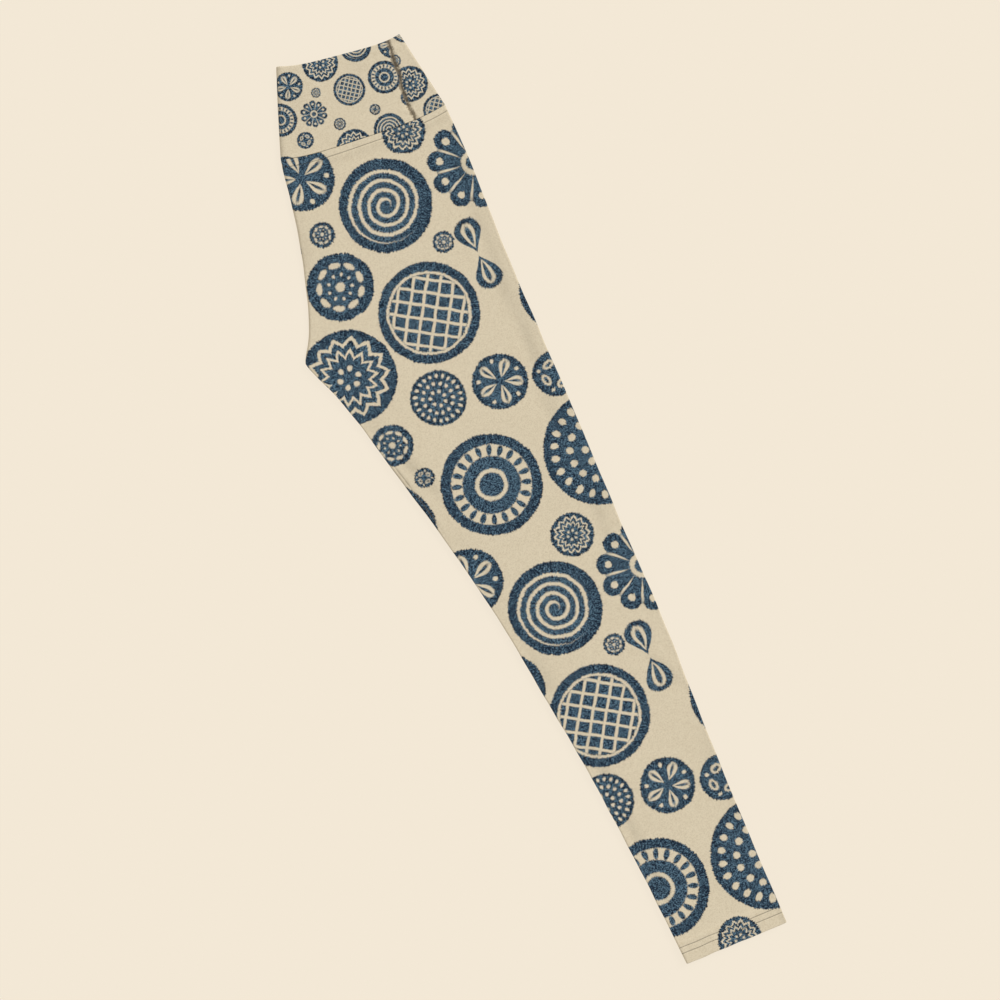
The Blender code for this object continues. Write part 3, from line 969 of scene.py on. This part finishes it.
def band_piece(band, path, seam_side, stations, material):
    """One piece of the waistband: a doubled wall along its path, rounded at the waist and at the seam."""
    w = stations / BAND_HEIGHT
    width = band_width(w)
    distance, height, aside, upward = (np.concatenate(part, axis=1) for part in zip(*path))
    half = BAND_WALL / 2
    faces = []
    for sign in (1, -1):
        reach = distance + sign * half * aside
        across, down = band_place(reach / width, w)
        level = height + sign * half * upward
        from_seam = np.abs(reach - seam_side)
        lift = np.clip((level - BAND_MIDDLE) / BAND_MIDDLE, 0.0, 1.0)
        drop = band_relief(across, down, from_seam, stations) * lift
        drop = drop - trough_depth(across, down, HIDDEN_CREASES) * (height < BAND_WALL)
        if sign == 1:
            drop = drop + ditch_depth(from_seam, down, level, upward)
        faces.append(combined(across, down, level - drop))
    share = np.minimum(fold_share(stations, BAND_WALL), fold_share(BAND_HEIGHT - stations, SEAM_ROLL))
    outer, inner = pinch(*faces, share)
    across, down = band_place(distance / width, w)
    along = arc_lengths(distance + half * aside, height + half * upward)
    down = down + rim_arc(BAND_HEIGHT - stations, SEAM_ROLL) - rim_arc(stations, BAND_WALL)
    cloth = combined(across[:, :1] + band.heading * along, down) + np.array(band.print_shift)
    sewn = combined(stations, BAND_HEIGHT - stations, np.abs(distance - seam_side))
    # Painted shade in the band's creases and beside its side fold, on its top only
    painted_shade = trough_depth(across, down, BAND_CREASES) + shade(width - distance, BAND_SIDE_SHADE)
    painted_shade = painted_shade * (height > BAND_MIDDLE)
    piece = cloth_piece(band.name, outer, inner, False, cloth, sewn, painted_shade, BAND_CHART, material)
    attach(piece, "root")
    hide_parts(band.node)
    return piece


def band_stations():
    """Distances down the waistband, close together at both edges."""
    edge = np.array(EDGE_STATIONS)
    spaces = int(BAND_HEIGHT / BAND_PITCH)
    body = np.linspace(edge[-1], BAND_HEIGHT - edge[-1], spaces + 1)[1:-1]
    return np.concatenate([edge, body, BAND_HEIGHT - edge[::-1]])[:, None]


def band_cloth(material):
    """Both pieces of the waistband."""
    stations = band_stations()
    width = band_width(stations / BAND_HEIGHT)
    seam = side_seam_at(stations / BAND_HEIGHT)
    front = band_piece(FRONT_BAND, front_path(width, seam - SEAM_GAP / 2), seam, stations, material)
    back = band_piece(BACK_BAND, back_path(width, seam + SEAM_GAP / 2), seam, stations, material)
    return front, back


def feed(value, socket):
    """Joins a socket to another, or sets its value."""
    if isinstance(value, bpy.types.NodeSocket):
        socket.id_data.links.new(value, socket)
    else:
        socket.default_value = value


def feed_all(node, values):
    """Feeds inputs of a node by name, and returns its outputs."""
    for name, value in values.items():
        feed(value, node.inputs[name])
    return node.outputs


def node_beside(kind, values):
    """A new node in the tree of the first socket among the values."""
    tree = next(value.id_data for value in values if isinstance(value, bpy.types.NodeSocket))
    return tree.nodes.new(kind)


def maths(operation, *values):
    node = node_beside("ShaderNodeMath", values)
    node.operation = operation
    for value, socket in zip(values, node.inputs):
        feed(value, socket)
    return node.outputs[0]


plus = partial(maths, "ADD")
minus = partial(maths, "SUBTRACT")
times = partial(maths, "MULTIPLY")
over = partial(maths, "DIVIDE")
times_plus = partial(maths, "MULTIPLY_ADD")


def weighted(shares, **values):
    """The sum of named values, each times its share."""
    total = None
    for name, share in shares.items():
        total = times(values[name], share) if total is None else times_plus(values[name], share, total)
    return total


def vector_maths(operation, *values):
    node = node_beside("ShaderNodeVectorMath", values)
    node.operation = operation
    sockets = (node.inputs[0], node.inputs["Scale"]) if operation == "SCALE" else node.inputs
    for value, socket in zip(values, sockets):
        feed(value, socket)
    return node.outputs["Value" if operation == "LENGTH" else "Vector"]


def soft_step(value, start, end):
    """0 at start and 1 at end, eased. Start may be the larger."""
    node = node_beside("ShaderNodeMapRange", (value,))
    node.interpolation_type = "SMOOTHSTEP"
    return feed_all(node, {"Value": value, "From Min": start, "From Max": end})["Result"]


def joined(x, y, z):
    node = node_beside("ShaderNodeCombineXYZ", (x, y, z))
    for value, socket in zip((x, y, z), node.inputs):
        feed(value, socket)
    return node.outputs["Vector"]


def parted(vector):
    return feed_all(node_beside("ShaderNodeSeparateXYZ", (vector,)), {"Vector": vector})


def noise(vector, scale, detail=2.0, colour=False):
    node = node_beside("ShaderNodeTexNoise", (vector,))
    outputs = feed_all(node, {"Vector": vector, "Scale": scale, "Detail": detail})
    return outputs["Color" if colour else "Fac"]


def mixed(share, first, second):
    """A colour between two."""
    node = node_beside("ShaderNodeMix", (share,))
    node.data_type = "RGBA"
    for value, name in ((share, "Factor_Float"), (first, "A_Color"), (second, "B_Color")):
        feed(value, next(socket for socket in node.inputs if socket.identifier == name))
    return next(socket for socket in node.outputs if socket.identifier == "Result_Color")


def new_group(name, inputs, outputs, kind="ShaderNodeTree"):
    """An empty node group with named sockets. Returns the tree, its inputs and its output node's sockets."""
    tree = bpy.data.node_groups.new(name, kind)
    for sockets, way in ((inputs, "INPUT"), (outputs, "OUTPUT")):
        for title, socket_kind in sockets.items():
            tree.interface.new_socket(title, in_out=way, socket_type=socket_kind)
    given = tree.nodes.new("NodeGroupInput").outputs
    result = tree.nodes.new("NodeGroupOutput").inputs
    return tree, given, result


def line_distance(place, pitch):
    """Distance from the nearest of many lines that lie a pitch apart."""
    turns = maths("FRACT", over(place, pitch))
    return times(maths("ABSOLUTE", minus(turns, 0.5)), pitch)


def layer_distance(polar, layer):
    """Distance from the middle of a layer of a motif, 1 at its edge.

    Polar is (x, y, distance, angle) from the motif's middle.
    """
    x, y, from_middle, angle = polar
    outward = minus(from_middle, layer.at)
    if layer.shape == "spiral":
        wound = times_plus(angle, layer.count * layer.width / (2 * math.pi), from_middle)
        return over(line_distance(wound, layer.width), layer.reach)
    if layer.shape == "net":
        first = line_distance(plus(x, y), layer.width * math.sqrt(2))
        second = line_distance(minus(x, y), layer.width * math.sqrt(2))
        return over(maths("MINIMUM", first, second), layer.reach * math.sqrt(2))
    turns = times_plus(angle, layer.count / (2 * math.pi), 0.5 + layer.turn)
    aside = minus(maths("FRACT", turns), 0.5)
    if layer.shape == "zigzag":
        swing = times_plus(maths("ABSOLUTE", aside), 4 * layer.width, -layer.width)
        outward = minus(outward, swing)
    outward = over(outward, layer.reach)
    if layer.shape == "petals":
        breadth = 2 * math.pi * layer.at / (layer.count * layer.width)
        return vector_maths("LENGTH", joined(outward, times(aside, breadth), 0.0))
    return maths("ABSOLUTE", outward)


def layer_mask(polar, soft, layer):
    """Where one layer of a motif lies, with soft edges."""
    away = layer_distance(polar, layer)
    blur = over(soft, min(layer.reach, layer.width))
    mask = soft_step(away, plus(1.0, blur), minus(1.0, blur))
    if layer.shape in ("spiral", "net"):
        mask = times(mask, soft_step(polar[2], layer.at, layer.at - LAYER_FADE))
    return mask


def motif_dye(polar, soft, layers):
    """Dye of a motif, built up from its layers."""
    dye = None
    for layer in layers:
        mask = layer_mask(polar, soft, layer)
        if dye is None:
            dye = mask
        elif layer.dyed:
            dye = maths("MAXIMUM", dye, mask)
        else:
            dye = times(dye, minus(1.0, mask))
    return dye


def resist_dye_group():
    """Dye of the motif at a place: 1 where the cloth is dyed, 0 where a resist kept it pale."""
    tree, given, result = new_group(
        "resist_dye",
        {"Motif": VECTOR, "Radius": FLOAT, "Cloth": VECTOR, "Fray": FLOAT, "Softness": FLOAT},
        {"Dye": FLOAT, "Streak": FLOAT, "Rim": FLOAT},
    )
    radius = given["Radius"]
    fray = over(given["Fray"], radius)
    x, y, kind = parted(given["Motif"])
    flat = joined(x, y, 0.0)
    for scale, share in SHAKES:
        shake = noise(given["Cloth"], scale, detail=1.0, colour=True)
        shake = vector_maths("SUBTRACT", shake, (0.5, 0.5, 0.5))
        size = times(fray, share)
        shake = vector_maths("MULTIPLY", shake, joined(size, size, 0.0))
        flat = vector_maths("ADD", flat, shake)
    from_middle = vector_maths("LENGTH", flat)
    shaken_x, shaken_y, _ = parted(flat)
    angle = maths("ARCTAN2", shaken_y, shaken_x)
    aim_x, aim_y, _ = parted(vector_maths("NORMALIZE", flat))
    round_rim = times(radius, HAIRS_ROUND)
    outward = times_plus(kind, HAIRS_APART, times(from_middle, times(radius, HAIRS_OUT)))
    streak = noise(joined(times(aim_x, round_rim), times(aim_y, round_rim), outward), scale=1.0)
    pulled = times(minus(streak, 0.5), times(fray, HAIR_PULL))
    polar = (shaken_x, shaken_y, plus(from_middle, pulled), angle)
    soft = over(given["Softness"], radius)
    total = None
    for number, layers in MOTIF_LAYERS.items():
        chosen = maths("COMPARE", kind, float(number), KIND_MARGIN)
        dye = times(motif_dye(polar, soft, layers), chosen)
        total = dye if total is None else plus(total, dye)
    feed(total, result["Dye"])
    feed(streak, result["Streak"])
    feed(soft_step(from_middle, *RIM_FROM), result["Rim"])
    return tree


def knit_group():
    """Height of fine jersey, whose loops lie in ribs side by side, and a random value for each loop."""
    tree, given, result = new_group(
        "jersey_knit",
        {"Cloth": VECTOR, "Rib": FLOAT, "Row": FLOAT},
        {"Height": FLOAT, "Loop": FLOAT},
    )
    x, y, _ = parted(given["Cloth"])
    across = over(x, given["Rib"])
    rib = maths("ABSOLUTE", maths("SINE", times(across, math.pi)))
    rows = times_plus(rib, LOOP_BEND, over(y, given["Row"]))
    loops = maths("SINE", times(rows, 2 * math.pi))
    feed(times(rib, times_plus(loops, LOOP_SWING, 1 - LOOP_SWING)), result["Height"])
    loop = tree.nodes.new("ShaderNodeTexWhiteNoise")
    loop.noise_dimensions = "2D"
    feed(joined(maths("FLOOR", across), maths("FLOOR", rows), 0.0), loop.inputs["Vector"])
    feed(loop.outputs["Value"], result["Loop"])
    return tree


def needle_group():
    """How near a place is to a row of stitches: 1 on the row and 0 off it."""
    tree, given, result = new_group(
        "needle_row",
        {"Distance": FLOAT, "Row": FLOAT, "Width": FLOAT},
        {"Near": FLOAT},
    )
    away = maths("ABSOLUTE", minus(given["Distance"], given["Row"]))
    feed(soft_step(away, given["Width"], 0.0), result["Near"])
    return tree


def use_group(group, **values):
    """Places a group beside the values that feed its named inputs."""
    node = node_beside("ShaderNodeGroup", values.values())
    node.node_tree = group
    return feed_all(node, values)


def read_attribute(tree, name, output):
    node = tree.nodes.new("ShaderNodeAttribute")
    node.attribute_name = name
    return node.outputs[output]


def bump(height, distance, strength, *normal):
    """Normal of a surface with a relief. A normal given last is that of the surface below it."""
    node = node_beside("ShaderNodeBump", (height,))
    for below in normal:
        feed(below, node.inputs["Normal"])
    return feed_all(node, {"Height": height, "Distance": distance, "Strength": strength})["Normal"]


def new_material(name, values):
    """A material whose surface has the values, with its tree and its shader."""
    material = bpy.data.materials.new(name)
    material.use_nodes = True
    shader = material.node_tree.nodes["Principled BSDF"]
    feed_all(shader, values)
    return material, material.node_tree, shader


def soft_surface(roughness, sheen):
    """Values of a matt surface with a soft sheen."""
    return {
        "Roughness": roughness,
        "Specular IOR Level": CLOTH_GLOSS,
        "Sheen Weight": sheen,
        "Sheen Roughness": SHEEN_ROUGHNESS,
        "Sheen Tint": SHEEN_CREAM,
    }


def dyed_cloth(tree, cloth, groups, fray, speck, mottle):
    """Colour of the printed jersey before any shade, and the height of its knit."""
    motif = read_attribute(tree, "motif", "Vector")
    radius = read_attribute(tree, "motif_radius", "Fac")
    dye = groups["resist_dye"]
    dye = use_group(dye, Motif=motif, Radius=radius, Cloth=cloth, Fray=fray, Softness=SOFTNESS)
    jersey = use_group(groups["jersey_knit"], Cloth=cloth, Rib=RIB, Row=ROW)
    grain = weighted(GRAIN, speck=speck, loop=jersey["Loop"])
    pale = weighted(PALENESS, grain=grain, mottle=mottle)
    ground = mixed(soft_step(pale, *PALE_FROM), ECRU_SHADE, ECRU)
    worn = weighted(WEAR, speck=speck, loop=jersey["Loop"], streak=dye["Streak"], rim=dye["Rim"])
    indigo = mixed(soft_step(worn, *WORN_FROM), INDIGO, INDIGO_WORN)
    return mixed(dye["Dye"], ground, indigo), jersey["Height"]


def sewn_shade(tree, groups, jersey, colour, speck, mottle):
    """Paints shade into the needle rows, and a ragged brown painted shadow into the ditch of a seam, darkest
    along its core.
    """
    def near(distance, row, width):
        return use_group(groups["needle_row"], Distance=distance, Row=row, Width=width)["Near"]

    sewn = parted(read_attribute(tree, "sewn", "Vector"))
    rows = None
    for which, row in jersey.needles:
        row = near(sewn[which], row * METRES, NEEDLE_MARK)
        rows = row if rows is None else maths("MAXIMUM", rows, row)
    # Painted shade in the grooves of the needle rows
    colour = vector_maths("SCALE", colour, times_plus(rows, -NEEDLE_SHADE, 1.0))
    # Painted shadow in the seam's ditch: brown, broken by noise, and darker along its middle
    ditch = near(sewn[2], 0.0, jersey.ditch_width)
    ragged = times_plus(minus(speck, 0.5), SPECK_RAG, ditch)
    ragged = times_plus(minus(mottle, 0.5), MOTTLE_RAG, ragged)
    ragged = times(soft_step(ragged, *RAGGED_FROM), soft_step(ditch, 0.0, DITCH_RIM))
    colour = mixed(times(ragged, jersey.ditch_share), colour, DITCH_SHADOW)
    core = near(sewn[2], 0.0, CORE_WIDTH)
    core = times(core, times(mottle, -CORE_SHADE * jersey.ditch_share))
    return vector_maths("SCALE", colour, plus(core, 1.0))


def printed_jersey(jersey, groups):
    """Ecru jersey with indigo print, with painted shade in its creases, by its edges, between its loops and
    along its sewing.
    """
    material, tree, shader = new_material(jersey.name, soft_surface(roughness=0.88, sheen=0.06))
    cloth = tree.nodes.new("ShaderNodeUVMap")
    cloth.uv_map = "cloth"
    cloth = cloth.outputs["UV"]
    speck = noise(cloth, SPECK_SCALE)
    mottle = noise(cloth, MOTTLE_SCALE, detail=3.0)
    colour, knit = dyed_cloth(tree, cloth, groups, jersey.fray, speck, mottle)
    # Painted shade: the colour is darkened in the creases and by the edges, as each piece gives it, and
    # between the knit's loops
    shaded = times_plus(read_attribute(tree, "painted_shade", "Fac"), -HOLLOW_SHADE, 1.0)
    shaded = times(shaded, times_plus(knit, *KNIT_SHADE))
    colour = vector_maths("SCALE", colour, shaded)
    feed(sewn_shade(tree, groups, jersey, colour, speck, mottle), shader.inputs["Base Color"])
    normal = bump(mottle, *MOTTLE_BUMP, bump(knit, *KNIT_BUMP))
    feed(normal, shader.inputs["Normal"])
    return material


def thread_material():
    """Brown sewing thread with a fine twist."""
    material, tree, shader = new_material("brown_thread", soft_surface(roughness=0.7, sheen=0.1))
    place = tree.nodes.new("ShaderNodeTexCoord").outputs["Object"]
    twist = noise(place, TWIST_SCALE, detail=1.0)
    feed(mixed(twist, THREAD_DARK, THREAD_BROWN), shader.inputs["Base Color"])
    feed(bump(twist, *TWIST_BUMP), shader.inputs["Normal"])
    return material


def stitch_tree():
    """Geometry nodes that lay stitches along a curve."""
    tree, given, result = new_group(
        "stitch_run",
        {"Geometry": GEOMETRY, "Pitch": FLOAT, "Length": FLOAT, "Thread Radius": FLOAT, "Thread": MATERIAL},
        {"Geometry": GEOMETRY},
        "GeometryNodeTree",
    )
    along = tree.nodes.new("GeometryNodeCurveToPoints")
    along.mode = "LENGTH"
    stitch = tree.nodes.new("GeometryNodeMeshUVSphere")
    uneven = tree.nodes.new("FunctionNodeRandomValue")
    uneven.data_type = "FLOAT"
    least, most = uneven.inputs[2:4]
    drawn = uneven.outputs[1]
    place = tree.nodes.new("GeometryNodeInstanceOnPoints")
    real = tree.nodes.new("GeometryNodeRealizeInstances")
    thread = tree.nodes.new("GeometryNodeSetMaterial")
    radius = given["Thread Radius"]
    size = joined(radius, radius, times(given["Length"], 0.5))
    fed = (
        (given["Geometry"], along.inputs["Curve"]),
        (given["Pitch"], along.inputs["Length"]),
        (STITCH_SIDES, stitch.inputs["Segments"]),
        (STITCH_RINGS, stitch.inputs["Rings"]),
        (1.0, stitch.inputs["Radius"]),
        (STITCH_LEAST, least),
        (STITCH_MOST, most),
        (STITCH_SEED, uneven.inputs["Seed"]),
        (along.outputs["Points"], place.inputs["Points"]),
        (along.outputs["Rotation"], place.inputs["Rotation"]),
        (stitch.outputs["Mesh"], place.inputs["Instance"]),
        (vector_maths("SCALE", size, drawn), place.inputs["Scale"]),
        (place.outputs["Instances"], real.inputs["Geometry"]),
        (real.outputs["Geometry"], thread.inputs["Geometry"]),
        (given["Thread"], thread.inputs["Material"]),
        (thread.outputs["Geometry"], result["Geometry"]),
    )
    for value, socket in fed:
        feed(value, socket)
    return tree


def stitches(name, runs, tree, thread):
    """Stitches along lines of places, as one mesh."""
    curve = bpy.data.curves.new(name + "_line", "CURVE")
    curve.dimensions = "3D"
    for run in runs:
        spline = curve.splines.new("POLY")
        spline.points.add(len(run) - 1)
        rows = np.column_stack([world(run), np.ones(len(run))])
        spline.points.foreach_set("co", rows.astype(np.float32).ravel())
    line = new_object(name + "_line", curve)
    modifier = line.modifiers.new("stitch_run", "NODES")
    modifier.node_group = tree
    values = {
        "Pitch": STITCH_PITCH * METRES,
        "Length": STITCH_LENGTH * METRES,
        "Thread Radius": THREAD_RADIUS * METRES,
        "Thread": thread,
    }
    for item in tree.interface.items_tree:
        if item.in_out == "INPUT" and item.name in values:
            modifier[item.identifier] = values[item.name]
    graph = bpy.context.evaluated_depsgraph_get()
    mesh = bpy.data.meshes.new_from_object(line.evaluated_get(graph))
    line.modifiers.remove(modifier)
    bpy.data.objects.remove(line)
    mesh.name = name
    mesh.shade_smooth()
    piece = new_object(name, mesh)
    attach(piece, "root")
    return piece


def stitch_line(leg, station, on_top):
    """The line of a needle row on a leg's face, a little sunk into the cloth."""
    ring = leg_rings(leg, np.array([[station]]), False)[0]
    face = ring[:TOP_POINTS] if on_top else ring[TOP_POINTS:]
    line = face[STITCH_INSET:-STITCH_INSET].copy()
    line[:, 2] += -THREAD_SINKS if on_top else THREAD_SINKS
    return line


def stitch_runs(leg, tree, thread):
    """All the needle rows that show on one leg: below the band and round the hem."""
    rows = [SEAM_NEEDLE] + [HEM_DOWN - needle for needle in HEM_NEEDLES]
    runs = [stitch_line(leg, row, on_top) for row in rows for on_top in (True, False)]
    return stitches(leg.name + "_stitches", runs, tree, thread)


def build_garment():
    """Both legs with their stitches, and the waistband."""
    groups = {"resist_dye": resist_dye_group(), "jersey_knit": knit_group(), "needle_row": needle_group()}
    leg_jersey = printed_jersey(LEG_JERSEY, groups)
    band_jersey = printed_jersey(BAND_JERSEY, groups)
    tree = stitch_tree()
    thread = thread_material()
    for leg, rests_on in ((UNDER_LEG, ()), (UPPER_LEG, ("leg_under_cloth",))):
        piece = leg_cloth(leg, leg_jersey)
        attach(piece, "root")
        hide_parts(leg.node)
        sewing = stitch_runs(leg, tree, thread)
    front, back = band_cloth(band_jersey)


def build_stage():
    """A plain pale floor, soft even light and the camera straight above."""
    bpy.ops.mesh.primitive_plane_add(size=FLOOR_SIZE, location=(0.0, 0.0, -GAP * METRES))
    floor = bpy.context.object
    floor.name = "floor"
    surface = {
        "Base Color": tuple(value * (1 - FLOOR_GLOW) for value in FLOOR_CREAM[:3]) + (1.0,),
        "Roughness": 1.0,
        "Specular IOR Level": 0.0,
        "Emission Color": FLOOR_CREAM,
        "Emission Strength": FLOOR_GLOW,
    }
    floor.data.materials.append(new_material("floor_cream", surface)[0])

    sky = bpy.data.worlds.new("studio")
    sky.use_nodes = True
    feed_all(sky.node_tree.nodes["Background"], {"Color": (1.0, 1.0, 1.0, 1.0), "Strength": SKY_LIGHT})
    scene = bpy.context.scene
    scene.world = sky

    window = bpy.data.lights.new("soft_window", "SUN")
    window.angle = math.radians(WINDOW_BREADTH)
    window.energy = WINDOW_LIGHT
    lamp = new_object("soft_window", window)
    lamp.rotation_euler = tuple(math.radians(angle) for angle in WINDOW_TURN)

    camera = bpy.data.cameras.new("camera")
    camera.lens = CAMERA_LENS
    camera.clip_end = CAMERA_SIGHT
    eye = new_object("camera", camera)
    eye.location = (CAMERA_ACROSS * METRES, CAMERA_ALONG * METRES, CAMERA_HEIGHT * METRES)
    eye.rotation_euler = (0.0, 0.0, math.radians(CAMERA_TURN))
    scene.camera = eye
    scene.view_settings.view_transform = "Standard"


build_stage()
build_garment()
